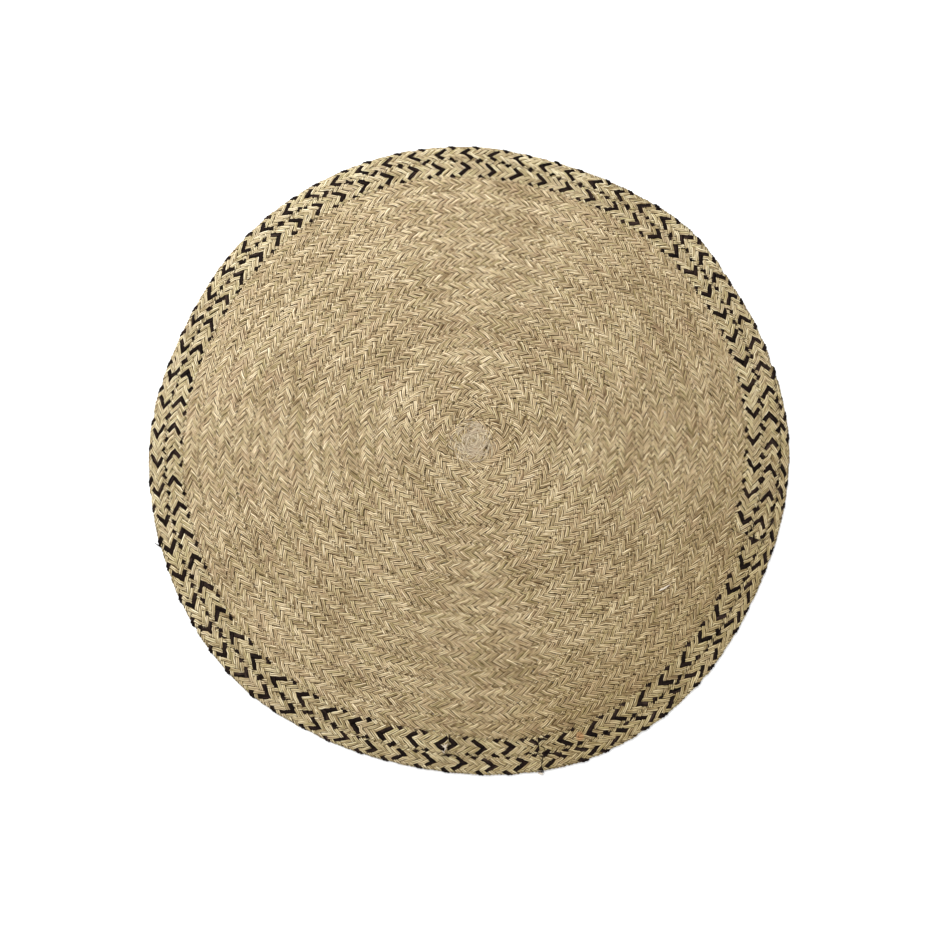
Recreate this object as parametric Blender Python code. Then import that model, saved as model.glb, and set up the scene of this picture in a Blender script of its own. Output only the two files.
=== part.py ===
"""Round rug of plaited natural fibre.

A flat plait is coiled from the middle and sewn edge to edge. Two rounds of a patterned border plait
go on around it, made up of five lengths that are joined end to end. The rug lies flat, with its
underside on z = 0. Lengths are in metres, +Z is up, and bearings are in degrees from +X, growing
counter-clockwise, which is the way that the coil winds outwards.
"""
import math
from typing import NamedTuple

import bmesh
import bpy
from mathutils import Vector


class EdgeRow(NamedTuple):
    """Radii of the three outer edges on one bearing, from the eye of the coil."""

    bearing: float
    field: float
    middle: float
    rim: float


class TailRow(NamedTuple):
    """Outer radius of the border's last, narrowing stretch on one bearing."""

    bearing: float
    rim: float


# Thickness of the rug over the middle of a turn, and over the sewn line between two turns;
# a stretch of plait under the narrow width has a lower crown
CROWN_HEIGHT = 0.006
SEAM_HEIGHT = 0.0045
NARROW_WIDTH = 0.015

# The field: widest turns in the middle, and each later turn drawn a little tighter
FIRST_TURN_WIDTH = 0.0299
TIGHTENING = 0.0002
FIELD_TURNS = 16.394
EYE_TURNS = 0.5
TUCKED_TURNS = 1 / 3
SWELL_POWER = 3

# Where the plaits are joined, and where the last one runs out
JOIN_BEARING = 340.0
KNOT_BEARING = 266.0
CUT_BEARING = 283.5
TAIL_TIP_BEARING = 14.0

# The outer edges as they were sewn, a little out of round; bearings run on past 360 for one turn
EDGE_ROWS = (
    EdgeRow(bearing=345, field=0.419, middle=0.449, rim=0.475),
    EdgeRow(bearing=360, field=0.423, middle=0.450, rim=0.479),
    EdgeRow(bearing=375, field=0.427, middle=0.457, rim=0.4865),
    EdgeRow(bearing=390, field=0.430, middle=0.458, rim=0.4855),
    EdgeRow(bearing=405, field=0.432, middle=0.461, rim=0.493),
    EdgeRow(bearing=420, field=0.432, middle=0.459, rim=0.4855),
    EdgeRow(bearing=435, field=0.432, middle=0.459, rim=0.484),
    EdgeRow(bearing=450, field=0.437, middle=0.467, rim=0.492),
    EdgeRow(bearing=470, field=0.445, middle=0.474, rim=0.498),
    EdgeRow(bearing=495, field=0.448, middle=0.476, rim=0.501),
    EdgeRow(bearing=520, field=0.451, middle=0.476, rim=0.499),
    EdgeRow(bearing=540, field=0.458, middle=0.485, rim=0.510),
    EdgeRow(bearing=560, field=0.457, middle=0.485, rim=0.513),
    EdgeRow(bearing=585, field=0.462, middle=0.489, rim=0.518),
    EdgeRow(bearing=605, field=0.457, middle=0.485, rim=0.508),
    EdgeRow(bearing=622, field=0.450, middle=0.479, rim=0.5045),
    EdgeRow(bearing=640, field=0.461, middle=0.485, rim=0.511),
    EdgeRow(bearing=650, field=0.463, middle=0.489, rim=0.513),
    EdgeRow(bearing=670, field=0.453, middle=0.479, rim=0.505),
    EdgeRow(bearing=685, field=0.444, middle=0.472, rim=0.494),
    EdgeRow(bearing=695, field=0.4415, middle=0.467, rim=0.490),
)
TAIL_ROWS = (
    TailRow(bearing=345, rim=0.4905),
    TailRow(bearing=360, rim=0.4915),
    TailRow(bearing=368, rim=0.4895),
    TailRow(bearing=374, rim=0.4885),
)

# Sections to a turn, where the crown lies across a turn, and the gap between neighbouring pieces
STEPS = 60
CROWN_SHARES = (0.3, 0.7)
GAP = 0.0004
SHARP_ANGLE = math.radians(40)

STRAW = (0.47, 0.37, 0.23, 1.0)
PALE_STRAW = (0.54, 0.46, 0.30, 1.0)
FIBRE_ROUGHNESS = 0.75


def turns_at(bearing: float) -> float:
    """Turns from the join of field and border to a bearing at or after it."""
    return (bearing - JOIN_BEARING) / 360


def share_of_turn(bearing: float) -> float:
    """Part of a turn from the join's bearing round to another bearing."""
    return turns_at(bearing) % 1


def smooth_through(points: list, at: float) -> float:
    """Height at one place of the smooth curve through rising (place, height) points."""
    last = len(points) - 2
    index = max(i for i in range(last + 1) if i == 0 or points[i][0] <= at)
    (x0, y0), (x1, y1) = points[index], points[index + 1]
    before = points[max(index - 1, 0)]
    after = points[min(index + 2, last + 1)]
    slope0 = (y1 - before[1]) / (x1 - before[0])
    slope1 = (after[1] - y0) / (after[0] - x0)
    span = x1 - x0
    t = min(max((at - x0) / span, 0.0), 1.0)
    return (
        y0 * (2 * t - 3) * t * t + y0
        + y1 * (3 - 2 * t) * t * t
        + slope0 * span * t * (1 - t) ** 2
        - slope1 * span * (1 - t) * t * t
    )


def even_radius(turns: float) -> float:
    """Radius of an even coil's sewn line, counted in turns from the join."""
    outward = max(turns + FIELD_TURNS - EYE_TURNS, 0.0)
    return FIRST_TURN_WIDTH * outward - TIGHTENING * outward ** 2


def outer_line() -> list:
    """The sewn line from the join outwards, as (turns, radius) points."""
    line = []
    for count, edge in enumerate(("field", "middle", "rim")):
        line += [(turns_at(row.bearing) + count, getattr(row, edge)) for row in EDGE_ROWS]
    return line + [(turns_at(row.bearing) + count + 1, row.rim) for row in TAIL_ROWS]


def swell_line() -> list:
    """How far the field's last edge lies outside the even coil, as (share of a turn, metres) points."""
    swells = [(turns_at(row.bearing), row.field - even_radius(turns_at(row.bearing))) for row in EDGE_ROWS]
    return [(swells[-1][0] - 1, swells[-1][1])] + swells + [(swells[0][0] + 1, swells[0][1])]


OUTER_LINE = outer_line()
SWELL_LINE = swell_line()


def sewn_radius(turns: float) -> float:
    """Radius of the line that is the inner edge of the plait after so many turns from the join.

    The same line, one turn later, is the plait's outer edge. The turns in the middle are round, and
    they take up the rim's unevenness more and more on the way out.
    """
    first = OUTER_LINE[0][0]
    if turns >= first:
        return smooth_through(OUTER_LINE, turns)
    even = even_radius(turns)
    swell = smooth_through(SWELL_LINE, turns % 1)
    return even + swell * (even / even_radius(first)) ** SWELL_POWER


JOINTS_ON_THE_WAY = (KNOT_BEARING, CUT_BEARING, TAIL_TIP_BEARING)
MOVED_STEPS = {round(share_of_turn(b) * STEPS): share_of_turn(b) for b in JOINTS_ON_THE_WAY}


def step_turns(step: int) -> float:
    """Turns from the join to a numbered section; sections next to a joint are moved onto it."""
    whole, place = divmod(step, STEPS)
    return whole + MOVED_STEPS.get(place, place / STEPS)


def step_near(turns: float) -> int:
    """Number of the section that lies at so many turns from the join."""
    return round(turns * STEPS)


def on_rug(turns: float, radius: float, height: float) -> Vector:
    """Point at a radius and height on the bearing that the coil has after so many turns."""
    angle = math.radians(JOIN_BEARING) + math.tau * turns
    return Vector((radius * math.cos(angle), radius * math.sin(angle), height))


def crown_points(turns: float, inner: float, outer: float) -> list:
    """The raised points across one section of plait."""
    fullness = min((outer - inner) / NARROW_WIDTH, 1.0)
    height = SEAM_HEIGHT + (CROWN_HEIGHT - SEAM_HEIGHT) * fullness
    return [on_rug(turns, inner + (outer - inner) * share, height) for share in CROWN_SHARES]


def fibre_material(name: str, colour: tuple) -> bpy.types.Material:
    """Dull plaited fibre of one colour."""
    material = bpy.data.materials.new(name)
    material.use_nodes = True
    shader = material.node_tree.nodes["Principled BSDF"]
    shader.inputs["Base Color"].default_value = colour
    shader.inputs["Roughness"].default_value = FIBRE_ROUGHNESS
    shader.inputs["Metallic"].default_value = 0.0
    material.diffuse_color = colour
    return material


def finish_piece(name: str, shape: bmesh.types.BMesh, colour: tuple) -> bpy.types.Object:
    """Turn a closed shape into a named object with smooth crowns and sharp edges."""
    bmesh.ops.recalc_face_normals(shape, faces=shape.faces)
    mesh = bpy.data.meshes.new(name)
    shape.to_mesh(mesh)
    shape.free()
    mesh.shade_smooth()
    mesh.set_sharp_from_angle(angle=SHARP_ANGLE)
    mesh.materials.append(fibre_material(name + "_fibre", colour))
    piece = bpy.data.objects.new(name, mesh)
    bpy.context.scene.collection.objects.link(piece)
    return piece


def field_plait() -> bpy.types.Object:
    """The coiled field: one fused spiral of plait with a groove along its sewn line."""
    shape = bmesh.new()
    first_step = step_near(-FIELD_TURNS - TUCKED_TURNS)
    first_line = first_step + STEPS
    eye = shape.verts.new((0, 0, CROWN_HEIGHT))

    line = {}
    for step in range(first_line, STEPS + 1):
        turns = step_turns(step)
        inset = GAP / 2 if step >= 0 else 0.0
        line[step] = shape.verts.new(on_rug(turns, sewn_radius(turns) - inset, SEAM_HEIGHT))

    crowns = {}
    for step in range(first_step + 1, 1):
        turns = step_turns(step)
        inner = sewn_radius(turns) if step >= first_line else 0.0
        outer = sewn_radius(turns + 1)
        crowns[step] = [shape.verts.new(point) for point in crown_points(turns, inner, outer)]

    def across(step: int) -> list:
        inner = line[step] if step >= first_line else eye
        return [inner, *crowns[step], line[step + STEPS]]

    start = across(first_step + 1)
    tip = line[first_line]
    for near, far in zip(start[1:], start[2:]):
        shape.faces.new((tip, near, far))
    shape.faces.new((tip, eye, start[1]))
    for step in range(first_step + 1, 0):
        here, there = across(step), across(step + 1)
        for i in range(len(here) - 1):
            corners = [here[i], here[i + 1], there[i + 1], there[i]]
            shape.faces.new(list(dict.fromkeys(corners)))

    outline = [line[step] for step in range(0, STEPS + 1)] + crowns[0][::-1]
    under = [shape.verts.new((v.co.x, v.co.y, 0.0)) for v in outline]
    for i in range(len(outline)):
        j = (i + 1) % len(outline)
        shape.faces.new((outline[i], outline[j], under[j], under[i]))
    base = shape.faces.new(under)
    bmesh.ops.triangulate(shape, faces=[base])
    return finish_piece("field_plait", shape, STRAW)


def border_plait(name: str, start: float, end: float) -> bpy.types.Object:
    """One length of border plait, from one number of turns after the join to another."""
    shape = bmesh.new()
    first, last = step_near(start), step_near(end)
    sections = []
    for step in range(first, last + 1):
        turns = step_turns(step)
        inner = sewn_radius(turns) + GAP / 2
        outer = sewn_radius(turns + 1) - GAP / 2
        if step == first:
            turns += GAP / (math.tau * inner)
        points = [
            on_rug(turns, inner, 0.0),
            on_rug(turns, inner, SEAM_HEIGHT),
            *crown_points(turns, inner, outer),
            on_rug(turns, outer, SEAM_HEIGHT),
            on_rug(turns, outer, 0.0),
        ]
        sections.append([shape.verts.new(point) for point in points])
    for here, there in zip(sections, sections[1:]):
        for i in range(len(here)):
            j = (i + 1) % len(here)
            shape.faces.new((here[i], here[j], there[j], there[i]))
    shape.faces.new(sections[0])
    shape.faces.new(sections[-1])
    return finish_piece(name, shape, PALE_STRAW)


def border_plaits() -> list:
    """The five lengths of border plait, in the order in which they are sewn on."""
    knot = share_of_turn(KNOT_BEARING)
    cut = share_of_turn(CUT_BEARING)
    tail = share_of_turn(TAIL_TIP_BEARING)
    return [
        border_plait("inner_border_plait", 0.0, knot),
        border_plait("inner_border_patch", knot, cut),
        border_plait("inner_border_closing", cut, 1.0),
        border_plait("outer_border_plait", 1.0, 1 + cut),
        border_plait("outer_border_closing", 1 + cut, 2 + tail),
    ]


def centre_on_origin(pieces: list) -> None:
    """Move the eye of the coil so that the rug's outline is centred on the origin."""
    points = [vertex.co for piece in pieces for vertex in piece.data.vertices]
    for axis in (0, 1):
        low = min(point[axis] for point in points)
        high = max(point[axis] for point in points)
        for piece in pieces:
            piece.location[axis] = -(low + high) / 2


def main() -> None:
    """Clear the scene and build the rug."""
    for old in list(bpy.data.objects):
        bpy.data.objects.remove(old, do_unlink=True)
    centre_on_origin([field_plait(), *border_plaits()])
    bpy.context.view_layer.update()


if __name__ == "__main__":
    main()
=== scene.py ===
"""Dresses the round plaited rug: its plaits strand by strand, its thread, finishes, floor, light and camera.

Lengths are in metres. A place on the rug is given by turns, counted along the coil from the join of
field and border, and by the share of the plait's width, from its inner edge to its outer edge.
"""

import logging
import math
from dataclasses import dataclass, field
from enum import Enum
from typing import Any

import bpy
import numpy as np
from mathutils import Euler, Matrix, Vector


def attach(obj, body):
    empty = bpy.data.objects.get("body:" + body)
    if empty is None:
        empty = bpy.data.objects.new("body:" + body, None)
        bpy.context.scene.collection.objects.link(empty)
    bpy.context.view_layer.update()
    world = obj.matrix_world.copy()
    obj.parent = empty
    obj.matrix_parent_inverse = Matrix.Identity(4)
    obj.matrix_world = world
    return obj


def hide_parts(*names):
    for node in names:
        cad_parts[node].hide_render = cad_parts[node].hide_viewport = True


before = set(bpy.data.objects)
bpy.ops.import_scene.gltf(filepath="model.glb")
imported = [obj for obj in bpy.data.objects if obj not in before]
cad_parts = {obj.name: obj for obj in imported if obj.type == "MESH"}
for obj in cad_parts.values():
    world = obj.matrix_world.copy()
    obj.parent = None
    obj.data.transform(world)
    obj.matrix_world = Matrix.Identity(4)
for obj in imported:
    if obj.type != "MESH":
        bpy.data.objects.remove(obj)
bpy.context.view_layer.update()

LOG = logging.getLogger("rug")
ROOT = "root"


class Heading(Enum):
    """Which way a plait's chevrons point round the rug, seen from above."""

    CLOCKWISE = -1
    COUNTER_CLOCKWISE = 1


@dataclass(frozen=True)
class EdgeRow:
    """Radii of the three outer edges on one bearing, from the eye of the coil."""

    bearing: float
    field: float
    middle: float
    rim: float


@dataclass(frozen=True)
class TailRow:
    """Outer radius of the border's last, narrowing stretch on one bearing."""

    bearing: float
    rim: float


EDGE_ROWS = (
    EdgeRow(bearing=345, field=0.419, middle=0.449, rim=0.475),
    EdgeRow(bearing=360, field=0.423, middle=0.450, rim=0.479),
    EdgeRow(bearing=375, field=0.427, middle=0.457, rim=0.4865),
    EdgeRow(bearing=390, field=0.430, middle=0.458, rim=0.4855),
    EdgeRow(bearing=405, field=0.432, middle=0.461, rim=0.493),
    EdgeRow(bearing=420, field=0.432, middle=0.459, rim=0.4855),
    EdgeRow(bearing=435, field=0.432, middle=0.459, rim=0.484),
    EdgeRow(bearing=450, field=0.437, middle=0.467, rim=0.492),
    EdgeRow(bearing=470, field=0.445, middle=0.474, rim=0.498),
    EdgeRow(bearing=495, field=0.448, middle=0.476, rim=0.501),
    EdgeRow(bearing=520, field=0.451, middle=0.476, rim=0.499),
    EdgeRow(bearing=540, field=0.458, middle=0.485, rim=0.510),
    EdgeRow(bearing=560, field=0.457, middle=0.485, rim=0.513),
    EdgeRow(bearing=585, field=0.462, middle=0.489, rim=0.518),
    EdgeRow(bearing=605, field=0.457, middle=0.485, rim=0.508),
    EdgeRow(bearing=622, field=0.450, middle=0.479, rim=0.5045),
    EdgeRow(bearing=640, field=0.461, middle=0.485, rim=0.511),
    EdgeRow(bearing=650, field=0.463, middle=0.489, rim=0.513),
    EdgeRow(bearing=670, field=0.453, middle=0.479, rim=0.505),
    EdgeRow(bearing=685, field=0.444, middle=0.472, rim=0.494),
    EdgeRow(bearing=695, field=0.4415, middle=0.467, rim=0.490),
)
KNOT_BEARING = 624.9
INNER_CUT_BEARING = 641.4
OUTER_CUT_BEARING = 641.3
TAIL_TIP_BEARING = 374.0
TAIL_ROWS = (
    TailRow(bearing=345, rim=0.4905),
    TailRow(bearing=360, rim=0.4915),
    TailRow(bearing=368, rim=0.4895),
    TailRow(bearing=374, rim=0.4885),
)


@dataclass(frozen=True)
class ChevronRow:
    """Bearing of one dark chevron whose outer arm leads, and how many lie between it and the first."""

    bearing: float
    count: float


INNER_CHEVRONS = (
    ChevronRow(bearing=336.5, count=-3),
    ChevronRow(bearing=341.9, count=-2.5),
    ChevronRow(bearing=369.8, count=0),
    ChevronRow(bearing=402.3, count=3),
    ChevronRow(bearing=434.6, count=6),
    ChevronRow(bearing=467.0, count=9),
    ChevronRow(bearing=498.2, count=12),
    ChevronRow(bearing=531.7, count=15),
    ChevronRow(bearing=562.6, count=18),
    ChevronRow(bearing=595.5, count=21),
    ChevronRow(bearing=617.2, count=23),
    ChevronRow(bearing=628.0, count=24),
)
PATCH_CHEVRONS = (
    ChevronRow(bearing=615.9, count=-2),
    ChevronRow(bearing=637.1, count=0),
    ChevronRow(bearing=658.3, count=2),
)
INNER_CLOSING_CHEVRONS = (
    ChevronRow(bearing=634.0, count=-1),
    ChevronRow(bearing=644.8, count=0),
    ChevronRow(bearing=666.1, count=2),
    ChevronRow(bearing=687.9, count=4),
    ChevronRow(bearing=709.7, count=6),
)
OUTER_CHEVRONS = (
    ChevronRow(bearing=333.8, count=-4),
    ChevronRow(bearing=344.4, count=-3),
    ChevronRow(bearing=375.5, count=0),
    ChevronRow(bearing=405.3, count=3),
    ChevronRow(bearing=437.0, count=6),
    ChevronRow(bearing=468.4, count=9),
    ChevronRow(bearing=501.0, count=12),
    ChevronRow(bearing=534.5, count=15),
    ChevronRow(bearing=566.5, count=18),
    ChevronRow(bearing=597.2, count=21),
    ChevronRow(bearing=628.3, count=24),
    ChevronRow(bearing=649.5, count=26),
)
OUTER_CLOSING_CHEVRONS = (
    ChevronRow(bearing=628.2, count=-3),
    ChevronRow(bearing=651.4, count=-1),
    ChevronRow(bearing=674.6, count=1),
    ChevronRow(bearing=698.3, count=3),
    ChevronRow(bearing=723.5, count=5),
    ChevronRow(bearing=749.0, count=7),
)


def smooth_through(points: np.ndarray, at: np.ndarray) -> np.ndarray:
    """Read a smooth curve that passes through given points.

    Args:
        points: One (place, height) row for each point, places rising.
        at: The places to read.

    Returns:
        The curve's height at each place.
    """
    x, y = points.T
    here = np.clip(np.searchsorted(x, at, side="right") - 1, 0, len(x) - 2)
    before = np.maximum(here - 1, 0)
    after = np.minimum(here + 2, len(x) - 1)
    there = here + 1
    span = x[there] - x[here]
    slope_here = (y[there] - y[before]) / (x[there] - x[before])
    slope_there = (y[after] - y[here]) / (x[after] - x[here])
    t = np.clip((at - x[here]) / span, 0, 1)
    rise = (3 - 2 * t) * t * t
    bend = slope_here * t * (1 - t) ** 2 - slope_there * (1 - t) * t * t
    return y[here] + (y[there] - y[here]) * rise + span * bend


@dataclass(frozen=True)
class Coil:
    """The sewn line that the plaits follow, as the solids have it."""

    first_turn_width: float = 0.0299
    tightening: float = 0.0002
    field_turns: float = 16.394
    eye_turns: float = 0.5
    tucked_turns: float = 1 / 3
    swell_power: int = 3
    join_bearing: float = 340.0
    outline_steps: int = 721

    def turns_at(self, bearing: float) -> float:
        """Turns from the join to a bearing at or after it."""
        return (bearing - self.join_bearing) / 360

    def even_radius(self, turns: np.ndarray) -> np.ndarray:
        """Radius of an even coil's sewn line."""
        outward = np.maximum(turns + self.field_turns - self.eye_turns, 0.0)
        return self.first_turn_width * outward - self.tightening * outward ** 2

    def outer_line(self) -> np.ndarray:
        """The sewn line from the join outwards.

        Returns:
            Rising (turns, radius) rows.
        """
        rows = []
        for count, edge in enumerate(("field", "middle", "rim")):
            rows += [(self.turns_at(row.bearing) + count, getattr(row, edge)) for row in EDGE_ROWS]
        rows += [(self.turns_at(row.bearing) + count + 1, row.rim) for row in TAIL_ROWS]
        return np.array(rows)

    def swell_line(self) -> np.ndarray:
        """How far the field's last edge lies outside the even coil.

        Returns:
            Rising (turns, metres) rows that cover a little more than one turn.
        """
        places = np.array([self.turns_at(row.bearing) for row in EDGE_ROWS])
        swells = np.array([row.field for row in EDGE_ROWS]) - self.even_radius(places)
        places = np.concatenate([[places[-1] - 1], places, [places[0] + 1]])
        swells = np.concatenate([[swells[-1]], swells, [swells[0]]])
        return np.stack([places, swells], axis=1)

    def sewn_radius(self, turns: np.ndarray) -> np.ndarray:
        """Radius of the line that is the plait's inner edge here and its outer edge one turn earlier.

        Args:
            turns: Turns from the join, below 0 in the field.

        Returns:
            The radius from the eye of the coil for each number of turns.
        """
        turns = np.asarray(turns, float)
        outer = self.outer_line()
        first = outer[0, 0]
        even = self.even_radius(turns)
        swell = smooth_through(self.swell_line(), turns % 1)
        inside = even + swell * (even / self.even_radius(np.array(first))) ** self.swell_power
        return np.where(turns >= first, smooth_through(outer, turns), inside)

    def eye(self) -> np.ndarray:
        """Where the eye of the coil lies when the rug's outline is centred on the origin.

        Returns:
            Its x and y.
        """
        turns = np.linspace(2, 3, self.outline_steps) + self.turns_at(TAIL_TIP_BEARING)
        angle = math.radians(self.join_bearing) + math.tau * turns
        rim = self.sewn_radius(turns) * np.array([np.cos(angle), np.sin(angle)])
        return -(rim.min(axis=1) + rim.max(axis=1)) / 2

    def place(self, turns: np.ndarray, radius: np.ndarray, height: np.ndarray) -> np.ndarray:
        """World positions of points on the rug.

        Args:
            turns: Turns from the join.
            radius: Distance from the eye of the coil.
            height: Height above the floor.

        Returns:
            One (x, y, z) row for each point, in the shape of the arguments.
        """
        angle = math.radians(self.join_bearing) + math.tau * turns
        eye_x, eye_y = self.eye()
        return np.stack([eye_x + radius * np.cos(angle), eye_y + radius * np.sin(angle), height], axis=-1)


COIL = Coil()


def wander(rng: np.random.Generator, count: int, reach: float) -> np.ndarray:
    """Smooth random values from about -1 to 1 along a strand.

    Args:
        rng: The seeded source of the values.
        count: How many values.
        reach: How many values lie between two independent ones.

    Returns:
        The values.
    """
    knots = rng.uniform(-1, 1, int(count / reach) + 3)
    return np.interp(np.arange(count) / reach, np.arange(len(knots)), knots)


# Points round a strand of two stems lying side by side: (across, up), from one side over the top
STEM_RING = np.array([
    (-1, 0), (-0.5, 1), (0, 0.3), (0.5, 1), (1, 0), (0.5, -1), (0, -0.3), (-0.5, -1),
], float)
RING = len(STEM_RING)
GROOVE_POINTS = [2, 6]
FIRST_CREST_POINTS = [1, 7]
SECOND_CREST_POINTS = [3, 5]
STEM_CAP = np.array([(7, 0, 1, 2), (6, 7, 2, 3), (5, 6, 3, 4)])

# A strand's course over one crossing of the plait: 1 lies on top, -1 underneath, 0 folds round the edge
LAYERS = np.array([0, -1, 1, 1, 1, -1, -1, -1, 1])
CELLS = len(LAYERS)

# The middle cells of its runs over three and under three
CROWNS = (3, 6)

# A map's rows hold this many times as many rings as there are rows, with this margin between rows
MAP_STRETCH = 2.6
MAP_MARGIN = 1

# Length of strand for each length of plait, as the finishes count it
STRAND_STRETCH = 1.18


def tube_quads(rings: int) -> np.ndarray:
    """Quads of a tube that is closed at both ends.

    Args:
        rings: How many rings of points the tube has.

    Returns:
        Four point numbers for each quad, the quads of the two ends last.
    """
    start = np.arange(rings - 1)[:, None] * RING
    turn = np.arange(RING)[None]
    near, far = start + turn, start + (turn + 1) % RING
    sides = np.stack([near, near + RING, far + RING, far], -1).reshape(-1, 4)
    return np.concatenate([sides, STEM_CAP[:, ::-1], STEM_CAP + (rings - 1) * RING])


@dataclass
class Surface:
    """Quads gathered for one mesh, with each point's place on its strand and each corner's place on a map."""

    points: list = field(default_factory=list)
    quads: list = field(default_factory=list)
    lays: list = field(default_factory=list)
    folds: list = field(default_factory=list)
    places: list = field(default_factory=list)
    count: int = 0
    next_place: int = 0

    def add(self, points: np.ndarray, quads: np.ndarray, lay: np.ndarray, fold: np.ndarray) -> None:
        """Add one strand or stem.

        Args:
            points: Its points.
            quads: The quads between them, by the points' numbers.
            lay: Each point's distance along, share across and shade number.
            fold: 1 for each point at a fold, else 0.
        """
        self.points.append(points)
        self.quads.append(quads + self.count)
        self.lays.append(lay)
        self.folds.append(fold)
        self.places.append(self.next_place + np.arange(len(quads)))
        self.count += len(points)
        self.next_place += RING * math.ceil(len(quads) / RING)

    def patchwork(self) -> np.ndarray:
        """Lay the strands out in long rows, side by side, for a map of the whole surface.

        Returns:
            The place on the map of each corner of each quad.
        """
        place = np.concatenate(self.places)
        row_length = max(int(math.sqrt(self.next_place / RING * MAP_STRETCH)), 1)
        ring, step = place // RING, place % RING
        row, along = ring // row_length, ring % row_length
        rows = row.max() + 1
        corners = np.array([(0, 0), (1, 0), (1, 1), (0, 1)])
        span = RING + MAP_MARGIN
        width = (row[:, None] * span + step[:, None] + corners[:, 1]) / (rows * span)
        length = (along[:, None] + corners[:, 0]) / row_length
        return np.stack([width, length], axis=-1).reshape(-1, 2)

    def to_object(self, name: str) -> bpy.types.Object:
        """Make the mesh object.

        Args:
            name: The piece's name.

        Returns:
            The object, linked to the scene and smooth shaded.
        """
        points = np.concatenate(self.points).astype(np.float32)
        quads = np.concatenate(self.quads).astype(np.int32)
        mesh = bpy.data.meshes.new(name)
        mesh.vertices.add(len(points))
        mesh.vertices.foreach_set("co", points.ravel())
        mesh.loops.add(quads.size)
        mesh.loops.foreach_set("vertex_index", quads.ravel())
        mesh.polygons.add(len(quads))
        mesh.polygons.foreach_set("loop_start", np.arange(0, quads.size, 4, dtype=np.int32))
        mesh.update(calc_edges=True)
        mesh.validate()
        mesh.shade_smooth()
        lay = mesh.attributes.new("lay", "FLOAT_VECTOR", "POINT")
        lay.data.foreach_set("vector", np.concatenate(self.lays).astype(np.float32).ravel())
        fold = mesh.attributes.new("fold", "FLOAT", "POINT")
        fold.data.foreach_set("value", np.concatenate(self.folds).astype(np.float32))
        layer = mesh.uv_layers.new(name="OFBake")
        layer.uv.foreach_set("vector", self.patchwork().astype(np.float32).ravel())
        piece = bpy.data.objects.new(name, mesh)
        bpy.context.scene.collection.objects.link(piece)
        return piece


@dataclass
class Strand:
    """Sizes of one strand, two stems laid side by side, and how uneven it is.

    A reach is how many cells of the plait lie between two values that have nothing to do with each other.
    """

    width: float = 0.0058
    thickness: float = 0.0023
    fold_length: float = 0.0090
    rim_bulge: float = 0.0
    unevenness: float = 0.22
    thickness_reach: int = 7
    width_reach: int = 9
    crest_change: float = 0.25
    crest_reach: int = 6
    groove_shift: float = 0.2
    groove_reach: int = 5
    shake: float = 0.00055
    upward_shake: float = 0.5


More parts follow.
